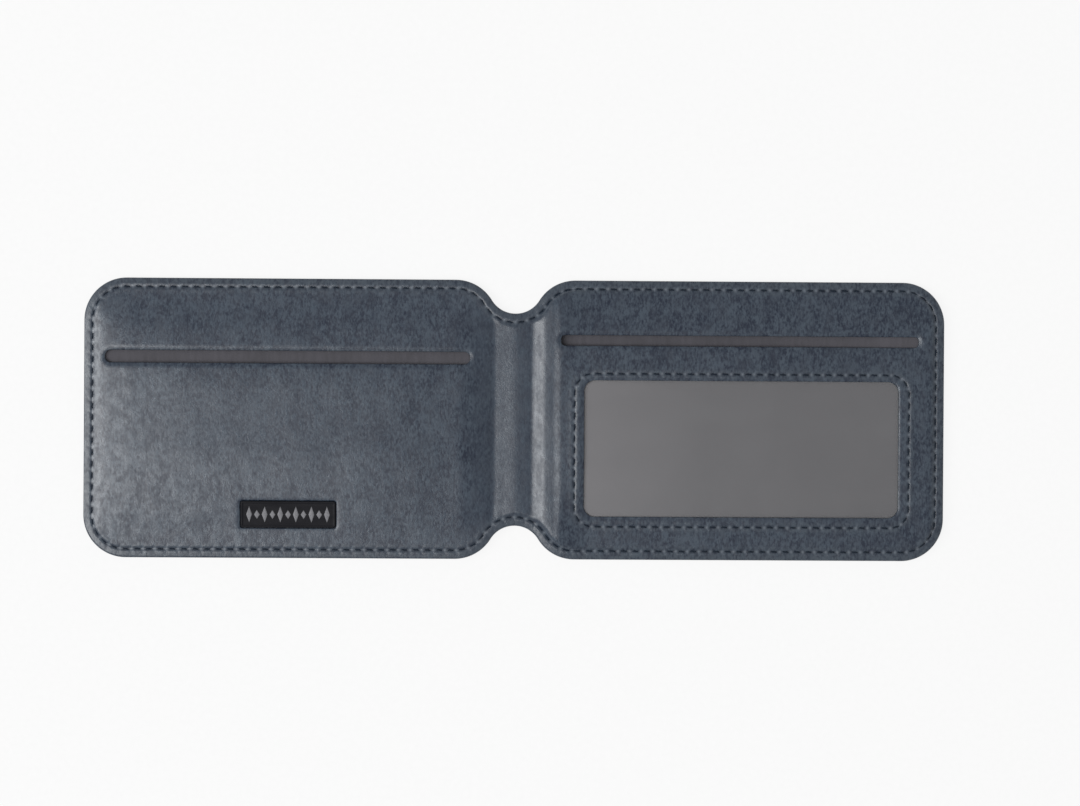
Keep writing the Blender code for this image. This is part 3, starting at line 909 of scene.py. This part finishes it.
FINISHES = {
    "inner": leather("navy_leather", 0.33),
    "outer": leather("navy_cover_leather", 0.35),
    "edge": edge_paint(),
    "flesh": suede("flesh_side", (0.06, 0.065, 0.07), (0.16, 0.165, 0.17)),
    "thread": waxed_thread(),
    "lining": woven("woven_lining", (0.027, 0.026, 0.032), (0.063, 0.060, 0.072), 0.42, 0.012),
    "film": clear_film(),
    "label": moulded("label_black", (0.002, 0.002, 0.003), (0.007, 0.007, 0.010), 0.5, 0.2, 0.015,
                     gloss=0.12),
    "mark": moulded("label_grey", (0.09, 0.09, 0.10), (0.19, 0.19, 0.20), 0.45, 0.2, 0.01, gloss=0.2),
    "board": moulded("fibre_board", (0.30, 0.25, 0.18), (0.48, 0.42, 0.33), 0.85, 0.6, 0.04, formed=False),
    "filler": woven("non_woven_filler", (0.22, 0.22, 0.22), (0.40, 0.40, 0.40), 0.6, 0.04, formed=False),
}


# ---------------------------------------------------------------- pieces

def side_name(side):
    return "left" if side < 0 else "right"


def leather_half(side):
    """The inner panel and outer cover from the spine's middle to one leaf's end, with their stitching."""
    label = side_name(side)
    loops = [half_loop(), box_edge(right_hand(SLOTS[side]), 0, EDGE_SPACING)]
    if side > 0:
        loops.append(box_edge(WINDOW, 0, WINDOW_SPACING))

    inner = slab(label + "_inner_leather", loops, lambda px, py: panel_top(px, py, side),
                 lambda px, py: panel_under(px, py, side), half_scatter(side, True),
                 half_scatter(side, False), [FINISHES["inner"], FINISHES["edge"], FINISHES["flesh"]], side)
    outer = slab(label + "_outer_leather", loops[:1], cover_top, cover_under, half_scatter(0, False),
                 half_scatter(0, True), [FINISHES["flesh"], FINISHES["edge"], FINISHES["outer"]], side)
    upper = stitches(label + "_edge_stitches", EDGE_PATH, EDGE_PITCH, EDGE_STITCHES,
                     lambda px, py: panel_base(px, py, side) - THREAD_SINK, side, 1, FINISHES["thread"],
                     11 + side)
    lower = stitches(label + "_edge_bobbin_stitches", EDGE_PATH, EDGE_PITCH, EDGE_STITCHES,
                     lambda px, py: np.full_like(px, BOBBIN_LEVEL), side, -1, FINISHES["thread"], 21 + side)
    for piece, slot_name, nodes in (
        (inner, "inner_leather", (label + "_inner_panel", "spine_inner_panel")),
        (outer, "outer_leather", (label + "_outer_cover", "spine_outer_cover")),
        (upper, "thread", (label + "_edge_thread", "spine_top_thread", "spine_bottom_thread")),
        (lower, "thread", (label + "_edge_bobbin_thread", "spine_top_bobbin_thread",
                           "spine_bottom_bobbin_thread")),
    ):
        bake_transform(piece)
        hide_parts(*nodes)


def window_stitching():
    """The seam round the window, which holds the film and the front lining under the leather."""
    upper = stitches("window_stitches", WINDOW_PATH, WINDOW_PITCH, WINDOW_STITCHES,
                     lambda px, py: panel_base(px, py, 1) - THREAD_SINK, 1, 1, FINISHES["thread"], 31)
    below = FILM_GAP + 2 * LAYER_GAP + FILM_THICK + FRONT_THICK + THREAD_PLY
    under = stitches("window_bobbin_stitches", WINDOW_PATH, WINDOW_PITCH, WINDOW_STITCHES,
                     lambda px, py: panel_under(px, py, 1) - below, 1, -1, FINISHES["thread"], 41)
    for piece, node in ((upper, "window_thread"), (under, "window_bobbin_thread")):
        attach(piece, "right_leaf")
        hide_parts(node)


def box_fill(box, hole, spacing):
    """Even points inside a rounded rectangle and outside a hole in it, clear of both outlines."""
    x, y, length, width, _ = box
    points = grid((x - length / 2, y - width / 2), (x + length / 2, y + width / 2), spacing, 0.9 * spacing)
    keep = outside(points, box) < -0.35 * spacing
    if hole is not None:
        keep &= outside(points, hole) > 0.35 * spacing
    return points[keep]


def grown_box(node, side, corner, inward, outward, lower, upper):
    """A CAD node's plan as a rounded box, grown at its creaseward, end, lower and upper edges."""
    low, high = node_box(node)
    low = low - ((outward, lower, 0) if side < 0 else (inward, lower, 0))
    high = high + ((inward, upper, 0) if side < 0 else (outward, upper, 0))
    return (*((low + high) / 2)[:2], *(high - low)[:2], corner)


def cloth_layer(name, side, box, hole, level, below, ripple, thickness):
    """A pocket lining with slight ripples. level is its top where the leather is high, and elsewhere it stays
    below(x, y) under the leather."""
    label = side_name(side)
    fill = box_fill(box, hole, 1.1)
    loops = [box_edge(edge, 0, SHEET_EDGE_SPACING) for edge in (box, hole) if edge is not None]

    def top(x, y):
        flat = level + ripple * (waves(x, y, 21.0, 41) + 0.4 * waves(x, y, 8.0, 42))
        return np.minimum(flat, panel_under(x, y, side) - below(x, y))

    piece = slab(label + "_" + name, loops, top, lambda x, y: top(x, y) - thickness, fill, fill,
                 [FINISHES["lining"]] * 3)
    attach(piece, label + "_leaf")
    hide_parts(label + "_pocket_" + name)


def linings():
    """Behind each pocket a back lining lies on the board, and a front lining hangs under the leather."""
    hole = (*WINDOW[:2], WINDOW[2] + 2 * HOLE_MARGIN, WINDOW[3] + 2 * HOLE_MARGIN, WINDOW[4] + HOLE_MARGIN)
    front_drop = FILM_GAP + FILM_THICK + LAYER_GAP
    back_drop = front_drop + FRONT_THICK + LAYER_GAP
    for side, opening in ((-1, None), (1, hole)):
        label = side_name(side)
        front = grown_box(label + "_pocket_front_lining", side, 4.0, 1.4, -0.8, -1.4, 0)
        back = grown_box(label + "_pocket_back_lining", side, 8.0, 0, 0.2, -1.7, -1.7)

        def under_front(x, y, front=front):
            gap = box_coordinates(x, y, front)[0]
            return back_drop + (LAYER_GAP - back_drop) * smooth(0.2, 1.2, gap)

        cloth_layer("back_lining", side, back, None, BACK_TOP, under_front, 0.03, BACK_THICK)
        cloth_layer("front_lining", side, front, opening, FRONT_TOP, lambda x, y: front_drop, 0.02,
                    FRONT_THICK)


def window_film():
    """The clear film just under the leather, where it dips a little inside the window."""
    box = grown_box("id_window_film", 1, 5.0, 0, 0, 0, 0)

    def top(x, y):
        return np.minimum(FILM_TOP + 0.03 * waves(x, y, 26.0, 51), panel_under(x, y, 1) - FILM_GAP)

    fill = box_fill(box, None, 1.3)
    piece = slab("window_film", [box_edge(box, 0, SHEET_EDGE_SPACING)], top,
                 lambda x, y: top(x, y) - FILM_THICK, fill, fill, [FINISHES["film"]] * 3)
    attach(piece, "right_leaf")
    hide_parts("id_window_film")


def label_plate():
    """The small plate: a rounded slab with a raised border and a plain row of raised lozenges."""
    spacing = 0.25
    fill = np.concatenate([box_edge(LABEL, -inset, spacing) for inset in LABEL_PLATE_RINGS])

    def rises(px, py):
        inset = -box_coordinates(px, py, LABEL)[0]
        level = panel_base(px, py, -1) + 0.02
        return level - edge_round(np.maximum(inset, 0), 0.22) - 0.10 * smooth(0.42, 0.62, inset)

    plate = slab("label_plate_body", [box_edge(LABEL, 0, spacing)], rises,
                 lambda px, py: panel_base(px, py, -1) - 0.48, fill, fill[:0], [FINISHES["label"]] * 3)
    points, faces = [], []
    for k in range(LOZENGES):
        x = LABEL[0] + LOZENGE_ROW * (k / (LOZENGES - 1) - 0.5)
        for level, share in ((-0.12, 1.0), (0.06, 0.86), (0.09, 0.62)):
            wide, tall = LOZENGE_HALF_WIDTH * share, LOZENGE_HALF_HEIGHTS[k % 2] * share
            points += [(x + wide, LABEL[1], level), (x, LABEL[1] + tall, level),
                       (x - wide, LABEL[1], level), (x, LABEL[1] - tall, level)]
        base = 12 * k
        for ring in (0, 4):
            faces += [(base + ring + i, base + ring + (i + 1) % 4, base + ring + 4 + (i + 1) % 4,
                       base + ring + 4 + i) for i in range(4)]
        faces += [tuple(base + 8 + i for i in range(4)), tuple(base + 3 - i for i in range(4))]
    points = np.array(points, float)
    points[:, 2] += panel_base(points[:, 0], points[:, 1], -1)
    motif = make_object("label_lozenges", points, faces, [0] * len(faces), [FINISHES["mark"]])
    for piece in (plate, motif):
        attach(piece, "left_leaf")
        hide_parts("label_plate")


def carried_over():
    """Better finishes for the hidden CAD nodes that stay."""
    for name, finish in (("left_stiffener_board", "board"), ("right_stiffener_board", "board"),
                         ("spine_filler_strip", "filler")):
        for slot in frame["nodes"][name].material_slots:
            slot.material = FINISHES[finish]


# ---------------------------------------------------------------- stage

# Places and sizes here are in metres, turns in degrees, powers in watts and the lens in millimetres
CAMERA_LENS = 85.0
CAMERA_PLACE = (-0.00408, 0.00753, 0.6158)
CAMERA_TURN = (-0.33, -0.939, 0.355)
FLOOR_TONE = 0.06
FLOOR_GLOW = 0.876
WORLD_LIGHT = 0.62
LIGHT_REACH = 1.5
LIGHT_SIZE = 0.7
SIDE_LIGHT = {"azimuth": 183, "elevation": 40, "power": 12.0}
KEY_LIGHT = {"azimuth": 205, "elevation": 64, "power": 9.5}


def area_light(name, azimuth, elevation, power):
    """A square light aimed at the wallet, from an azimuth from +X and an elevation in degrees."""
    turn, rise = math.radians(azimuth), math.radians(elevation)
    data = bpy.data.lights.new(name, "AREA")
    data.size = LIGHT_SIZE
    data.energy = power
    lamp = bpy.data.objects.new(name, data)
    lamp.location = LIGHT_REACH * Vector((math.cos(turn) * math.cos(rise), math.sin(turn) * math.cos(rise),
                                          math.sin(rise)))
    lamp.rotation_euler = (-lamp.location).to_track_quat("-Z", "Y").to_euler()
    bpy.context.scene.collection.objects.link(lamp)


def floor():
    """A large pale sheet of paper."""
    mesh = bpy.data.meshes.new("floor")
    reach = 8.0
    mesh.from_pydata([(-reach, -reach, 0), (reach, -reach, 0), (reach, reach, 0), (-reach, reach, 0)], [],
                     [(0, 1, 2, 3)])
    paper = Finish("pale_floor", formed=False)
    tooth = paper.remap(paper.noise(1.4, 3.0), *SPREAD)
    paper.set(Base_Color=paper.mix(tooth, (FLOOR_TONE - 0.005,) * 3, (FLOOR_TONE + 0.005,) * 3),
              Emission_Color=(1.0, 1.0, 1.0, 1.0), Emission_Strength=FLOOR_GLOW, Roughness=0.9,
              Specular_IOR_Level=0.1)
    mesh.materials.append(paper.material)
    plane = bpy.data.objects.new("floor", mesh)
    bpy.context.scene.collection.objects.link(plane)


def camera():
    """A long lens straight above the wallet, turned a little as in the photograph."""
    data = bpy.data.cameras.new("camera")
    data.lens = CAMERA_LENS
    data.sensor_width = 36.0
    data.clip_start, data.clip_end = 0.01, 20.0
    eye = bpy.data.objects.new("camera", data)
    eye.location = CAMERA_PLACE
    eye.rotation_euler = [math.radians(turn) for turn in CAMERA_TURN]
    bpy.context.scene.collection.objects.link(eye)
    bpy.context.scene.camera = eye


def lights():
    """Two soft lights from the left and a white surround."""
    area_light("side", **SIDE_LIGHT)
    area_light("key", **KEY_LIGHT)
    world = bpy.data.worlds.new("studio")
    world.use_nodes = True
    background = world.node_tree.nodes["Background"]
    background.inputs["Color"].default_value = (1.0, 1.0, 1.0, 1.0)
    background.inputs["Strength"].default_value = WORLD_LIGHT
    bpy.context.scene.world = world
    bpy.context.scene.view_settings.view_transform = "Standard"


# ---------------------------------------------------------------- the whole

camera()
lights()
floor()
leather_half(-1)
leather_half(1)
window_stitching()
linings()
window_film()
label_plate()
carried_over()
